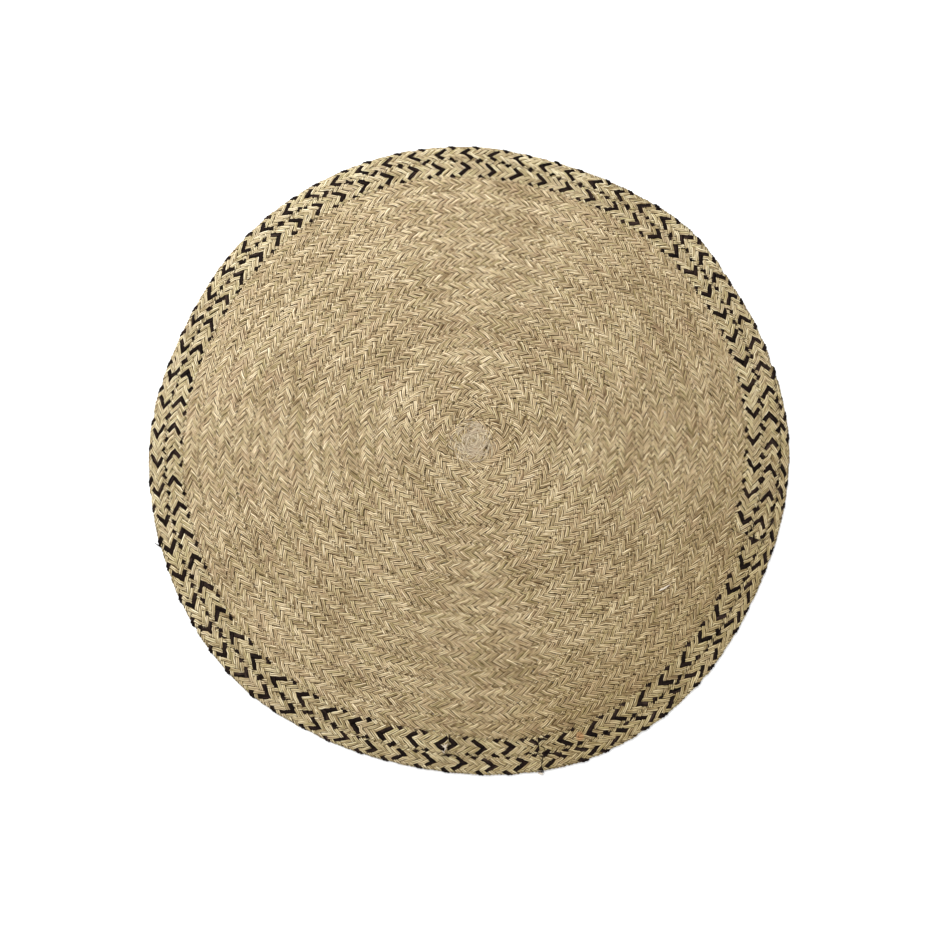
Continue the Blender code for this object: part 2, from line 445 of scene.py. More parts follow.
@dataclass
class Plait:
    """A length of flat plait of nine strands, laid along the coil."""

    name: str
    node: str
    start: float
    end: float
    heading: Heading
    seed: int
    strands: int = 9
    cell: float = 0.00485
    plain_width: float = 0.0275
    inner_share: float = -0.04
    outer_share: float = -0.04
    fold_lift: float = 0.40
    middle_height: float = 0.00255
    layer_height: float = 0.00125
    float_crown: float = 1.25
    strand: Strand = field(default_factory=Strand)

    def axis_at(self, turns: np.ndarray) -> np.ndarray:
        """Distance along the plait, in cells, for a number of turns; it grows the way the chevrons point."""
        raise NotImplementedError

    def turns_along(self, axis: np.ndarray) -> np.ndarray:
        """The number of turns at a distance along the plait, in cells."""
        raise NotImplementedError

    def edges(self, turns: np.ndarray) -> tuple[np.ndarray, np.ndarray]:
        """Radii of the plait's inner and outer edges."""
        return COIL.sewn_radius(turns), COIL.sewn_radius(turns + 1)

    def stations(self) -> tuple[int, int]:
        """First and last whole cell of the length, one beyond each end."""
        low, high = sorted(float(self.axis_at(np.array(t))) for t in (self.start, self.end))
        return math.floor(low) - 1, math.ceil(high) + 1

    def step(self) -> float:
        """How far a strand moves across the flat plait in one cell."""
        return self.plain_width * (1 - self.inner_share - self.outer_share) / CELLS

    def strand_of(self, number: int) -> Strand:
        """The sizes of one of the strands."""
        return self.strand

    def at_rim(self, around: np.ndarray) -> np.ndarray:
        """Whether a fold lies on the rug's own edge, given the cells from a fold at the inner edge."""
        return np.zeros(around.shape, bool)

    def strand_frame(self, cells: np.ndarray, strand: Strand) -> tuple:
        """Where a strand runs in the flat plait, and how its section lies there.

        Args:
            cells: Whole cells that the strand has passed, from a fold at the inner edge.
            strand: The strand's sizes.

        Returns:
            The share of the width, the layer, the section's side vector in (width, length) and
            the section's upward vector in (width, height).
        """
        around = cells % (2 * CELLS)
        outward = around < CELLS
        share = np.where(outward, around, 2 * CELLS - around) / CELLS
        part = around % CELLS
        layer = LAYERS[part].astype(float)
        layer[np.isin(part, CROWNS)] *= self.float_crown
        layer[part == 0] = np.where(self.at_rim(around)[part == 0], 0.0, self.fold_lift)
        fold = part == 0
        slant = math.hypot(self.step(), self.cell)
        half = strand.width / 2
        side_x = np.where(fold, 0.0, np.where(outward, -1, 1) * self.cell / slant * half)
        side_y = np.where(fold, strand.fold_length / 2, self.step() / slant * half)
        up_x = np.where(fold, 1.0, 0.0)
        up_z = np.where(fold, 0.0, np.where(outward, 1.0, -1.0))
        return share, layer, np.stack([side_x, side_y], -1), np.stack([up_x, up_z], -1)

    def lay_strand(self, number: int, cells: np.ndarray, surface: Surface) -> None:
        """Lay one strand over a run of cells.

        Args:
            number: Which of the strands.
            cells: The plait's whole cells that it covers.
            surface: Takes the strand's points and quads.
        """
        strand = self.strand_of(number)
        rng = np.random.default_rng((self.seed, number))
        first, last = self.stations()
        total = last - first + 1
        thick = strand.thickness / 2 * (1 + strand.unevenness * wander(rng, total, strand.thickness_reach))
        broad = 1 + strand.unevenness * wander(rng, total, strand.width_reach)
        crests = [wander(rng, total, strand.crest_reach) for _ in range(2)]
        crest = 1 + strand.crest_change * np.stack(crests, -1)
        groove = strand.groove_shift * wander(rng, total, strand.groove_reach)
        shake = rng.normal(0, strand.shake, (total, 3))
        pick = cells - first
        share, layer, side, up = self.strand_frame(cells - 2 * number, strand)

        ring = np.repeat(STEM_RING[None], len(cells), axis=0)
        ring[:, GROOVE_POINTS, 0] += groove[pick, None]
        ring[:, FIRST_CREST_POINTS, 1] *= crest[pick, 0, None]
        ring[:, SECOND_CREST_POINTS, 1] *= crest[pick, 1, None]
        ring[:, :, 0] *= broad[pick, None]
        across = ring[:, :, 0]
        lift = ring[:, :, 1] * thick[pick, None]

        spread = side[:, None, :] * across[:, :, None]
        raised = up[:, None, :] * lift[:, :, None]
        width = self.inner_share + (1 - self.inner_share - self.outer_share) * share
        width = width + self.at_rim((cells - 2 * number) % (2 * CELLS)) * strand.rim_bulge / self.plain_width
        width = width[:, None] + (spread[:, :, 0] + raised[:, :, 0] + shake[pick, 0, None]) / self.plain_width
        axis = cells[:, None] + (spread[:, :, 1] + shake[pick, 1, None]) / self.cell
        middle = self.middle_height + layer * self.layer_height + strand.upward_shake * shake[pick, 2]
        height = np.maximum(middle[:, None] + raised[:, :, 1], 0.0)
        points = self.on_rug(axis, width, height)

        quads = tube_quads(len(cells))
        if self.heading is Heading.CLOCKWISE:
            quads = quads[:, ::-1]
        along = np.repeat(cells[:, None] * self.cell * STRAND_STRETCH, RING, axis=1)
        tag = np.full_like(along, self.seed * self.strands + number)
        lay = np.stack([along, across, tag], -1).reshape(-1, 3)
        fold = np.repeat((cells - 2 * number) % CELLS == 0, RING)
        surface.add(points.reshape(-1, 3), quads, lay, fold)

    def on_rug(self, axis: np.ndarray, width: np.ndarray, height: np.ndarray) -> np.ndarray:
        """World positions of points that are given in the flat plait.

        Args:
            axis: Distance along the plait, in cells.
            width: Share of the plait's width.
            height: Height above the floor.

        Returns:
            One (x, y, z) row for each point.
        """
        turns = np.clip(self.turns_along(axis), self.start, self.end)
        inner, outer = self.edges(turns)
        radius = inner + (outer - inner) * width
        return COIL.place(turns, radius, self.settle(turns, radius, height))

    def settle(self, turns: np.ndarray, radius: np.ndarray, height: np.ndarray) -> np.ndarray:
        """The heights of points once the plait is sewn down."""
        return height

    def build(self, numbers: tuple, name: str, cells: np.ndarray) -> bpy.types.Object:
        """Build one piece out of some of the strands over a run of cells.

        Args:
            numbers: Which strands.
            name: The piece's name.
            cells: The plait's whole cells that the piece covers.

        Returns:
            The mesh object.
        """
        surface = Surface()
        for number in numbers:
            self.lay_strand(number, cells, surface)
        piece = surface.to_object(name)
        self.declare(piece, numbers)
        return piece

    def declare(self, piece: bpy.types.Object, numbers: tuple) -> None:
        """Tie a piece to the rug and hide the solid it stands for; the width of its strands laid flat is
        summed but not used.

        Args:
            piece: The piece.
            numbers: Which strands it holds.
        """
        width = sum(self.strand_of(number).width for number in numbers)
        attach(piece, ROOT)
        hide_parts(self.node)


@dataclass
class FieldPlait(Plait):
    """The plain plait that is coiled into the field."""

    lengths: tuple = ("eye_turns", "inner_turns", "middle_turns", "outer_turns")
    walk_points: int = 6000

    def distances(self) -> tuple[np.ndarray, np.ndarray]:
        """Walk along the middle of the plait in close steps.

        Returns:
            The turns and the distance walked, in cells, at each step.
        """
        turns = np.linspace(self.start, self.end, self.walk_points)
        middle = (COIL.sewn_radius(turns) + COIL.sewn_radius(turns + 1)) / 2
        steps = np.hypot(np.diff(turns) * math.tau * (middle[1:] + middle[:-1]) / 2, np.diff(middle))
        return turns, np.concatenate([[0], np.cumsum(steps)]) / self.cell

    def axis_at(self, turns: np.ndarray) -> np.ndarray:
        """Distance along the plait, in cells, for a number of turns."""
        known, walked = self.distances()
        return self.heading.value * np.interp(turns, known, walked)

    def turns_along(self, axis: np.ndarray) -> np.ndarray:
        """The number of turns at a distance along the plait, in cells."""
        known, walked = self.distances()
        return np.interp(axis * self.heading.value, walked, known)

    def make(self, finish: "Finish") -> list[bpy.types.Object]:
        """Build the field in a few lengths and dress them.

        Args:
            finish: The stems' finish.

        Returns:
            The pieces.
        """
        first, last = self.stations()
        bounds = np.linspace(first, last, len(self.lengths) + 1).astype(int)
        spans = list(zip(bounds, bounds[1:]))[::self.heading.value]
        pieces = []
        for name, (low, high) in zip(self.lengths, spans):
            piece = self.build(tuple(range(self.strands)), f"{self.name}_{name}", np.arange(low, high + 1))
            finish.dress(piece)
            pieces.append(piece)
        return pieces


@dataclass
class BorderPlait(Plait):
    """A length of border plait with two dark strands that make its chevrons."""

    ring: int = 0
    chevrons: tuple = INNER_CHEVRONS
    dark: tuple = (0, 4)
    tuck: float = math.inf
    tucked_width: float = 0.024
    apex_cell: float = 4.5
    dark_strand: Strand = field(
        default_factory=lambda: Strand(width=0.0066, thickness=0.0025, rim_bulge=0.001),
    )
    buried_height: float = 0.4
    burying_width: float = 0.003

    def strand_of(self, number: int) -> Strand:
        """The sizes of one of the strands; the dyed ones are bolder."""
        return self.dark_strand if number in self.dark else self.strand

    def at_rim(self, around: np.ndarray) -> np.ndarray:
        """Whether a fold lies on the rug's own edge, given the cells from a fold at the inner edge."""
        return (around == CELLS) & (self.outer_share > 0)

    def chevron_line(self) -> np.ndarray:
        """The pattern's pace, as rising (chevron count, turns) rows."""
        return np.array([(row.count, COIL.turns_at(row.bearing) + self.ring) for row in self.chevrons])

    def axis_at(self, turns: np.ndarray) -> np.ndarray:
        """Distance along the plait, in cells, for a number of turns."""
        count, known = self.chevron_line().T
        return self.heading.value * 2 * CELLS * np.interp(turns, known, count) + self.apex_cell

    def turns_along(self, axis: np.ndarray) -> np.ndarray:
        """The number of turns at a distance along the plait, in cells."""
        count = self.heading.value * (axis - self.apex_cell) / (2 * CELLS)
        return smooth_through(self.chevron_line(), count)

    def edges(self, turns: np.ndarray) -> tuple[np.ndarray, np.ndarray]:
        """Radii of the edges; past the tuck the plait keeps its width and slips under its neighbour."""
        inner, outer = super().edges(turns)
        return np.where(turns > self.tuck, np.minimum(inner, outer - self.tucked_width), inner), outer

    def settle(self, turns: np.ndarray, radius: np.ndarray, height: np.ndarray) -> np.ndarray:
        """The heights of points, pressed down where the narrowing tail runs under its neighbour."""
        buried = np.clip((COIL.sewn_radius(turns) + self.burying_width - radius) / self.burying_width, 0, 1)
        return np.where(turns > self.tuck, height * (1 - (1 - self.buried_height) * buried), height)

    def make(self, pale: "Finish", dark: "Finish") -> list[bpy.types.Object]:
        """Build the pale and the dark strands and dress them.

        Args:
            pale: The finish of the seven undyed strands.
            dark: The finish of the two dyed strands.

        Returns:
            The two pieces.
        """
        first, last = self.stations()
        cells = np.arange(first, last + 1)
        undyed = tuple(n for n in range(self.strands) if n not in self.dark)
        pieces = [
            self.build(undyed, f"{self.name}_pale_strands", cells),
            self.build(self.dark, f"{self.name}_dark_strands", cells),
        ]
        pale.dress(pieces[0])
        dark.dress(pieces[1])
        return pieces


@dataclass
class LooseStem:
    """One round stem or thread laid by itself, thinning out at both ends.

    Its finish takes it as the middle of a strand's one stem, clear of the painted shade in the slits:
    across_middle and across_reach say where.
    """

    points: np.ndarray
    radius: float = 0.0009
    steps: int = 7
    tip: float = 0.25
    taper: float = 0.5
    across_middle: float = 0.5
    across_reach: float = 0.2
    shortest: float = 1e-6

    def lay(self, surface: Surface, tag: float) -> None:
        """Lay the stem.

        Args:
            surface: Takes the stem's points and quads.
            tag: A number that tells its shade from the others'.
        """
        known = np.arange(len(self.points), dtype=float)
        at = np.linspace(0, known[-1], self.steps)
        path = np.stack([smooth_through(np.stack([known, line], -1), at) for line in self.points.T], -1)
        ahead = np.gradient(path, axis=0)
        ahead /= np.linalg.norm(ahead, axis=1, keepdims=True)
        side = np.cross(ahead, (0.0, 0.0, 1.0))
        side /= np.maximum(np.linalg.norm(side, axis=1, keepdims=True), self.shortest)
        up = np.cross(side, ahead)
        angle = math.tau * np.arange(RING) / RING
        swell = np.sin(np.linspace(0, math.pi, self.steps)) ** self.taper
        reach = self.radius * np.maximum(swell, self.tip)
        spread = side[:, None] * np.cos(angle)[None, :, None] + up[:, None] * np.sin(angle)[None, :, None]
        points = path[:, None] + spread * reach[:, None, None]
        points[:, :, 2] = np.maximum(points[:, :, 2], 0.0)
        length = np.cumsum(np.concatenate([[0], np.linalg.norm(np.diff(path, axis=0), axis=1)]))
        along = np.repeat(length[:, None], RING, axis=1)
        across = np.repeat(self.across_middle + self.across_reach * np.cos(angle)[None], self.steps, axis=0)
        lay = np.stack([along, across, np.full_like(along, tag)], -1).reshape(-1, 3)
        surface.add(points.reshape(-1, 3), tube_quads(self.steps), lay, np.zeros(len(lay)))


def polar(bearing: float, radius: float, height: float) -> np.ndarray:
    """World position of a point on the rug, from its bearing in degrees and distance from the eye."""
    return COIL.place(np.array(COIL.turns_at(bearing)), np.array(radius), np.array(height))


@dataclass
class LooseWork:
    """Loose stems or stitches of one finish that belong to one length of plait."""

    name: str
    node: str

    def lay(self, surface: Surface) -> None:
        """Lay the stems on the surface."""
        raise NotImplementedError

    def make(self, finish: "Finish") -> bpy.types.Object:
        """Build the stems, dress them and tie them to the rug.

        Args:
            finish: Their finish.

        Returns:
            The piece.
        """
        surface = Surface()
        self.lay(surface)
        piece = surface.to_object(self.name)
        finish.dress(piece)
        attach(piece, ROOT)
        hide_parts(self.node)
        return piece


@dataclass
class EyeStems(LooseWork):
    """Fine stem ends that swirl over the tight start of the coil."""

    name: str = "eye_stem_ends"
    node: str = "field_plait"
    count: int = 230
    middle: tuple = (229.0, 0.005)
    reach: float = 0.030
    nearest_share: float = 0.02
    crowding: float = 0.6
    stray_shares: tuple = (0.7, 1.25)
    radius: float = 0.0010
    radius_shares: tuple = (0.7, 1.2)
    lengths: tuple = (0.010, 0.022)
    heights: tuple = (0.0043, 0.0052)
    end_dip: float = 0.0010
    tightest_bend: float = 0.015
    scatter: float = 26.0
    first_tag: int = 500
    seed: int = 31

    def lay(self, surface: Surface) -> None:
        """Lay the stem ends round the eye, each roughly along the coil.

        Args:
            surface: Takes their points and quads.
        """
        rng = np.random.default_rng(self.seed)
        offset = polar(*self.middle, 0.0) - polar(0.0, 0.0, 0.0)
        dip = np.array([0.0, 0.0, self.end_dip])
        for number in range(self.count):
            share = rng.uniform(self.nearest_share, 1) ** self.crowding
            away = self.reach * share * rng.uniform(*self.stray_shares)
            bearing = rng.uniform(0, 360)
            middle = polar(bearing, away, rng.uniform(*self.heights)) + offset
            turned = math.radians(bearing + 90 + rng.normal(0, self.scatter))
            ahead = np.array([math.cos(turned), math.sin(turned), 0.0])
            inward = np.array([-math.cos(math.radians(bearing)), -math.sin(math.radians(bearing)), 0.0])
            half = rng.uniform(*self.lengths) / 2
            bow = inward * half ** 2 / (2 * max(away, self.tightest_bend))
            points = np.array([middle - ahead * half + bow - dip, middle, middle + ahead * half + bow - dip])
            radius = self.radius * rng.uniform(*self.radius_shares)
            LooseStem(points, radius).lay(surface, self.first_tag + number)


@dataclass(frozen=True)
class Stitch:
    """One visible stitch, thread or loose end, by its ends and how high it bows between them."""

    bearing: float
    radius: float
    end_bearing: float
    end_radius: float
    height: float = 0.0052
    bow: float = 0.0008
    thickness: float = 0.0011

    def stem(self) -> LooseStem:
        """The stitch as a stem.

        Returns:
            The stem, through both ends and the top of the bow.
        """
        middle_bearing = (self.bearing + self.end_bearing) / 2
        middle = polar(middle_bearing, (self.radius + self.end_radius) / 2, self.height + self.bow)
        first = polar(self.bearing, self.radius, self.height)
        last = polar(self.end_bearing, self.end_radius, self.height)
        return LooseStem(np.array([first, middle, last]), self.thickness / 2)


@dataclass
class Stitching(LooseWork):
    """Stitches and ends of one colour that hold one length of border to its neighbours."""

    stitches: tuple
    first_tag: int

    def lay(self, surface: Surface) -> None:
        """Lay the stitches on the surface."""
        for number, stitch in enumerate(self.stitches):
            stitch.stem().lay(surface, self.first_tag + number)


KNOT_DARK = (
    Stitch(bearing=265.0, radius=0.4500, end_bearing=265.2, end_radius=0.4740, thickness=0.0010),
    Stitch(bearing=264.6, radius=0.4705, end_bearing=265.9, end_radius=0.4660, thickness=0.0014),
    Stitch(bearing=263.9, radius=0.4815, end_bearing=266.0, end_radius=0.4790, thickness=0.0022),
    Stitch(bearing=265.9, radius=0.4790, end_bearing=267.4, end_radius=0.4835, thickness=0.0020),
)
KNOT_PALE = (
    Stitch(bearing=263.7, radius=0.4660, end_bearing=264.8, end_radius=0.4720, thickness=0.0016),
    Stitch(bearing=264.0, radius=0.4700, end_bearing=265.0, end_radius=0.4640, thickness=0.0014),
    Stitch(bearing=264.4, radius=0.4755, end_bearing=264.7, end_radius=0.4650, thickness=0.0016),
    Stitch(bearing=263.9, radius=0.4745, end_bearing=264.5, end_radius=0.4780, thickness=0.0014),
    Stitch(bearing=264.2, radius=0.4640, end_bearing=264.6, end_radius=0.4720, thickness=0.0012),
)
CUT_DARK = (
    Stitch(bearing=280.9, radius=0.5125, end_bearing=281.2, end_radius=0.5010, thickness=0.0011),
    Stitch(bearing=281.2, radius=0.5010, end_bearing=281.8, end_radius=0.4880, thickness=0.0013),
    Stitch(bearing=281.0, radius=0.4890, end_bearing=282.4, end_radius=0.4910, thickness=0.0018),
    Stitch(bearing=282.0, radius=0.4860, end_bearing=283.8, end_radius=0.4900, thickness=0.0020),
    Stitch(bearing=281.7, radius=0.4930, end_bearing=282.9, end_radius=0.4870, thickness=0.0015),
    Stitch(bearing=281.3, radius=0.4690, end_bearing=282.8, end_radius=0.4650, thickness=0.0022),
    Stitch(bearing=281.6, radius=0.4640, end_bearing=283.2, end_radius=0.4690, thickness=0.0022),
    Stitch(bearing=282.3, radius=0.4860, end_bearing=282.1, end_radius=0.4760, thickness=0.0010),
    Stitch(bearing=280.4, radius=0.511, end_bearing=281.4, end_radius=0.513, height=0.003, thickness=0.0022),
)
CUT_PALE = (
    Stitch(
        bearing=280.3, radius=0.5125, end_bearing=281.2, end_radius=0.5155,
        height=0.0022, thickness=0.0026,
    ),
    Stitch(
        bearing=280.6, radius=0.5100, end_bearing=281.0, end_radius=0.5160,
        height=0.0026, thickness=0.0022,
    ),
)
BLEACHED = (
    Stitch(
        bearing=319.8, radius=0.3673, end_bearing=322.5, end_radius=0.3738,
        height=0.0046, thickness=0.0022,
    ),
    Stitch(
        bearing=319.7, radius=0.3665, end_bearing=320.9, end_radius=0.3690,
        height=0.0046, thickness=0.0026,
    ),
)
JOIN_DARK = (
    Stitch(bearing=339.2, radius=0.4560, end_bearing=341.0, end_radius=0.4535, thickness=0.0024),
    Stitch(bearing=339.6, radius=0.4580, end_bearing=340.4, end_radius=0.4530, thickness=0.0022),
    Stitch(bearing=341.5, radius=0.4500, end_bearing=343.0, end_radius=0.4490, thickness=0.0016),
)


@dataclass(frozen=True)
class PathRow:
    """One point of a loose end's course, from the eye of the coil."""

    bearing: float
    radius: float
    height: float


@dataclass
class StrayEnd(LooseWork):
    """The dark stem end that sticks out past the rug's edge and hooks back."""

    name: str = "stray_dark_end"
    node: str = "outer_border_plait"
    thickness: float = 0.0018
    steps: int = 12
    tip: float = 0.5
    tag: int = 900
    rows: tuple = (
        PathRow(bearing=197.9, radius=0.5070, height=0.0046),
        PathRow(bearing=199.0, radius=0.5085, height=0.0044),
        PathRow(bearing=199.4, radius=0.5105, height=0.0036),
        PathRow(bearing=199.0, radius=0.5150, height=0.0026),
        PathRow(bearing=198.3, radius=0.5200, height=0.0014),
    )

    def lay(self, surface: Surface) -> None:
        """Lay the end on the surface."""
        points = np.array([polar(row.bearing, row.radius, row.height) for row in self.rows])
        LooseStem(points, self.thickness / 2, steps=self.steps, tip=self.tip).lay(surface, self.tag)


# Share of the plait's width that its folds keep clear of the rug's own edge
RIM_MARGIN = 0.045


def make_border() -> list[BorderPlait]:
    """Plan the five lengths of border plait.

    Returns:
        The lengths, in the order in which they are sewn on.
    """
    knot = COIL.turns_at(KNOT_BEARING)
    inner_cut = COIL.turns_at(INNER_CUT_BEARING)
    outer_cut = COIL.turns_at(OUTER_CUT_BEARING) + 1
    tip = COIL.turns_at(TAIL_TIP_BEARING) + 2
    clockwise, counter = Heading.CLOCKWISE, Heading.COUNTER_CLOCKWISE
    return [
        BorderPlait(
            name="inner_border", node="inner_border_plait", start=0.0, end=knot, heading=clockwise, seed=21,
        ),
        BorderPlait(
            name="border_patch", node="inner_border_patch", start=knot, end=inner_cut, heading=counter,
            seed=22, chevrons=PATCH_CHEVRONS,
        ),
        BorderPlait(
            name="inner_closing", node="inner_border_closing", start=inner_cut, end=1.0, heading=clockwise,
            seed=23, chevrons=INNER_CLOSING_CHEVRONS,
        ),
        BorderPlait(
            name="outer_border", node="outer_border_plait", start=1.0, end=outer_cut, heading=counter,
            seed=24, ring=1, chevrons=OUTER_CHEVRONS, outer_share=RIM_MARGIN,
        ),
        BorderPlait(
            name="outer_closing", node="outer_border_closing", start=outer_cut, end=tip, heading=counter,
            seed=25, ring=1, chevrons=OUTER_CLOSING_CHEVRONS, outer_share=RIM_MARGIN,
            dark=(0, 3), apex_cell=13.5, tuck=2.0,
        ),
    ]


@dataclass(frozen=True)
class Channel:
    """A shader socket that takes part in Python expressions."""

    tree: bpy.types.NodeTree
    socket: bpy.types.NodeSocket

    def math(self, operation: str, first: Any, second: Any = None) -> "Channel":
        """Add a Math node.

        Args:
            operation: The node's operation.
            first: A channel or number.
            second: A channel or number, where the operation takes two.

        Returns:
            The result.
        """
        node = self.tree.nodes.new("ShaderNodeMath")
        node.operation = operation
        for place, value in enumerate((first, second)):
            if isinstance(value, Channel):
                self.tree.links.new(value.socket, node.inputs[place])
            elif value is not None:
                node.inputs[place].default_value = value
        return Channel(self.tree, node.outputs[0])

    def __add__(self, other: Any) -> "Channel":
        """Sum."""
        return self.math("ADD", self, other)

    __radd__ = __add__

    def __sub__(self, other: Any) -> "Channel":
        """Difference."""
        return self.math("SUBTRACT", self, other)

    def __rsub__(self, other: Any) -> "Channel":
        """Difference from a number."""
        return self.math("SUBTRACT", other, self)

    def __mul__(self, other: Any) -> "Channel":
        """Product."""
        return self.math("MULTIPLY", self, other)

    __rmul__ = __mul__

    def __gt__(self, other: Any) -> "Channel":
        """1 where greater, else 0."""
        return self.math("GREATER_THAN", self, other)

    def __abs__(self) -> "Channel":
        """Absolute value."""
        return self.math("ABSOLUTE", self)

    def clamped(self) -> "Channel":
        """The value held between 0 and 1."""
        return self.math("MINIMUM", self.math("MAXIMUM", self, 0.0), 1.0)

    def ease(self, low: float, high: float) -> "Channel":
        """0 below low, 1 above high, and a straight rise between them."""
        return ((self - low) * (1 / (high - low))).clamped()


RELIEF_DEPTH = 0.0004
NOISE_ROUGHNESS = 0.6

# How far apart two strands, and the two stems of a strand, lie in a finish's noise
STRAND_SHIFT = 7.31
STEM_SHIFT = 3.7


@dataclass
class ShaderBuilder:
    """Makes one material and the nodes in it."""

    name: str
    material: bpy.types.Material = None
    tree: bpy.types.NodeTree = None

    def __post_init__(self) -> None:
        """Make the empty material."""
        self.material = bpy.data.materials.new(self.name)
        self.material.use_nodes = True
        self.tree = self.material.node_tree

    @property
    def surface(self) -> bpy.types.Node:
        """The material's Principled node."""
        return self.tree.nodes["Principled BSDF"]

    def node(self, kind: str, settings: dict, sockets: dict, output: Any = 0) -> Channel:
        """Add a node.

        Args:
            kind: The node's type.
            settings: Properties to set first; stops are a ramp's (place, colour) pairs.
            sockets: Values or channels by socket name or number.
            output: Name or number of the output to return.

        Returns:
            The output as a channel.
        """
        node = self.tree.nodes.new(kind)
        for key, value in settings.items():
            if key == "stops":
                self.set_stops(node.color_ramp, value)
            else:
                setattr(node, key, value)
        for key, value in sockets.items():
            self.feed(node.inputs[key], value)
        return Channel(self.tree, node.outputs[output])

    def set_stops(self, ramp: bpy.types.ColorRamp, stops: tuple) -> None:
        """Give a colour ramp its stops.

        Args:
            ramp: The ramp.
            stops: Its (place, colour) pairs.
        """
        while len(ramp.elements) < len(stops):
            ramp.elements.new(1.0)
        for element, (place, colour) in zip(ramp.elements, stops):
            element.position = place
            element.color = (*colour, 1.0)

    def feed(self, socket: bpy.types.NodeSocket, value: Any) -> None:
        """Link a channel to a socket, or set a plain value on it.

        Args:
            socket: The socket.
            value: The channel or value.
        """
        if isinstance(value, Channel):
            self.tree.links.new(value.socket, socket)
        else:
            socket.default_value = value

    def noise(self, where: Channel, scale: float, detail: float = 2.0) -> Channel:
        """Noise from 0 to 1 at a vector."""
        sockets = {"Vector": where, "Scale": scale, "Detail": detail, "Roughness": NOISE_ROUGHNESS}
        return self.node("ShaderNodeTexNoise", {"noise_dimensions": "3D"}, sockets, "Fac")

    def vector(self, x: Any, y: Any, z: Any) -> Channel:
        """A vector from three channels or numbers."""
        return self.node("ShaderNodeCombineXYZ", {}, {0: x, 1: y, 2: z})

    def mix(self, share: Any, first: Any, second: Any, blend: str = "MIX") -> Channel:
        """Two colours mixed by a share."""
        settings = {"data_type": "RGBA", "blend_type": blend}
        return self.node("ShaderNodeMix", settings, {0: share, 6: first, 7: second}, 2)

    def measure(self, operation: str, first: Any, second: Any) -> Channel:
        """A number from two vectors, such as their distance."""
        return self.node("ShaderNodeVectorMath", {"operation": operation}, {0: first, 1: second}, "Value")

    def ramp(self, stops: tuple, tone: Channel) -> Channel:
        """The colour of a tone, between (place, colour) stops."""
        return self.node("ShaderNodeValToRGB", {"stops": stops}, {0: tone}, "Color")

    def relief(self, height: Channel, strength: float) -> None:
        """Raise the surface a little by a height from 0 to 1."""
        sockets = {"Height": height, "Strength": strength, "Distance": RELIEF_DEPTH}
        self.feed(self.surface.inputs["Normal"], self.node("ShaderNodeBump", {}, sockets))


@dataclass(frozen=True)
class Grain:
    """Noise drawn out along a stem: changes a metre, changes across it, and its share in the tone.

    Without changes across, the whole stem changes at once, and the shift tells one such noise from another.
    """

    along: float
    across: float = 0.0
    shift: float = 0.0
    detail: float = 1.0
    share: float = 0.0


@dataclass(frozen=True)
class StemPlace:
    """Where a point of a strand lies: how far along, how far across, and which stem it is on."""

    shader: ShaderBuilder
    along: Channel
    across: Channel
    seed: Channel

    @classmethod
    def read(cls, shader: ShaderBuilder) -> "StemPlace":
        """Read a strand's own coordinates, which its mesh carries.

        Args:
            shader: The material that reads them.

        Returns:
            The place.
        """
        lay = shader.node("ShaderNodeAttribute", {"attribute_name": "lay"}, {}, "Vector")
        along, across, strand = (shader.node("ShaderNodeSeparateXYZ", {}, {0: lay}, n) for n in range(3))
        stem = across > 0.0
        return cls(shader, along, across, strand * STRAND_SHIFT + stem * STEM_SHIFT)

    def noise(self, grain: Grain) -> Channel:
        """Noise that follows the stem.

        Args:
            grain: How it changes.

        Returns:
            A value from 0 to 1.
        """
        if grain.across:
            where = self.shader.vector(self.along * grain.along, self.across * grain.across, self.seed)
        else:
            where = self.shader.vector(self.along * grain.along, self.seed, grain.shift)
        return self.shader.noise(where, 1.0, grain.detail)


@dataclass(frozen=True)
class Finish:
    """What a piece's surface looks like; it also carries a slot name, which is not used here."""

    name: str
    slot: str

    def material(self) -> bpy.types.Material:
        """Make the material."""
        raise NotImplementedError

    def dress(self, piece: bpy.types.Object) -> None:
        """Give a piece this finish.

        Args:
            piece: The piece.
        """
        material = bpy.data.materials.get(self.name) or self.material()
        piece.data.materials.append(material)


